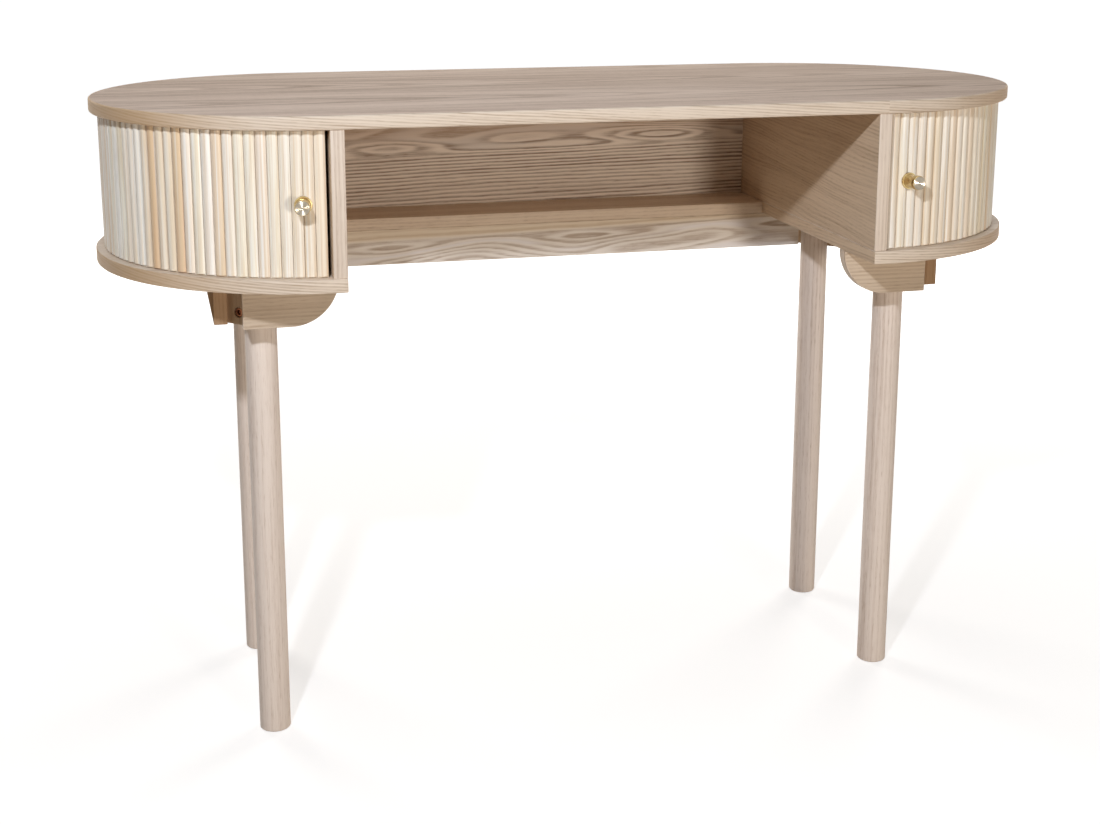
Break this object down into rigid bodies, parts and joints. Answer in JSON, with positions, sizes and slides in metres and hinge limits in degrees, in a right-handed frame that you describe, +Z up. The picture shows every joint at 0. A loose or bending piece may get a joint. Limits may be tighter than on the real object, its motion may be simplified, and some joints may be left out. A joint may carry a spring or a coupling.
{
  "type": "tambour desk",
  "caption": "Writing desk with a round-ended top, a half-round pod with a sliding tambour door at each end, an open centre bay with a low rear ledge, and bolted round legs.",
  "frame": {"origin": "on the floor, under the middle of the top", "axes": "+X to the right along the desk, +Y to the back, +Z up; the user sits at -Y"},
  "size_m": [1.12, 0.5106, 0.74],
  "materials": {
    "oak_veneer": "matt lacquered oak veneer",
    "oak_solid": "matt lacquered solid oak",
    "slat_wood": "matt lacquered pale slats",
    "dowel_wood": "bare fluted beech",
    "canvas": "plain woven cotton",
    "brass": "turned and lacquered",
    "steel": "zinc plated"
  },
  "bodies": {
    "carcass": {"desk_top": "oak_veneer", "back_panel": "oak_veneer", "shelf": "oak_veneer", "stretcher_rail": "oak_veneer", "leg_bolts": "steel", "leg_inserts": "steel", "divider_dowels": "dowel_wood", "shelf_dowels": "dowel_wood", "back_panel_dowels": "dowel_wood", "rail_dowels": "dowel_wood", "left_pod_bottom": "oak_veneer", "left_divider": "oak_veneer", "left_back_shell": "oak_veneer", "left_side_rail": "oak_veneer", "right_pod_bottom": "oak_veneer", "right_divider": "oak_veneer", "right_back_shell": "oak_veneer", "right_side_rail": "oak_veneer", "front_left_leg": "oak_solid", "front_left_bracket": "oak_veneer", "front_left_corner_block": "oak_solid", "front_right_leg": "oak_solid", "front_right_bracket": "oak_veneer", "front_right_corner_block": "oak_solid", "rear_left_leg": "oak_solid", "rear_left_bracket": "oak_veneer", "rear_left_corner_block": "oak_solid", "rear_right_leg": "oak_solid", "rear_right_bracket": "oak_veneer", "rear_right_corner_block": "oak_solid"},
    "left_door": {"left_tambour_slats": "slat_wood", "left_canvas": "canvas", "left_knob": "brass", "left_knob_washer": "steel", "left_knob_screw": "steel"},
    "right_door": {"right_tambour_slats": "slat_wood", "right_canvas": "canvas", "right_knob": "brass", "right_knob_washer": "steel", "right_knob_screw": "steel"}
  },
  "joints": [
    {"name": "left_door_slide", "type": "hinge", "parent": "carcass", "child": "left_door", "pos_m": [-0.31, 0, 0.6465], "axis": [0, 0, -1], "range_deg": [0, 70]},
    {"name": "right_door_slide", "type": "hinge", "parent": "carcass", "child": "right_door", "pos_m": [0.31, 0, 0.6465], "axis": [0, 0, 1], "range_deg": [0, 70]}
  ]
}
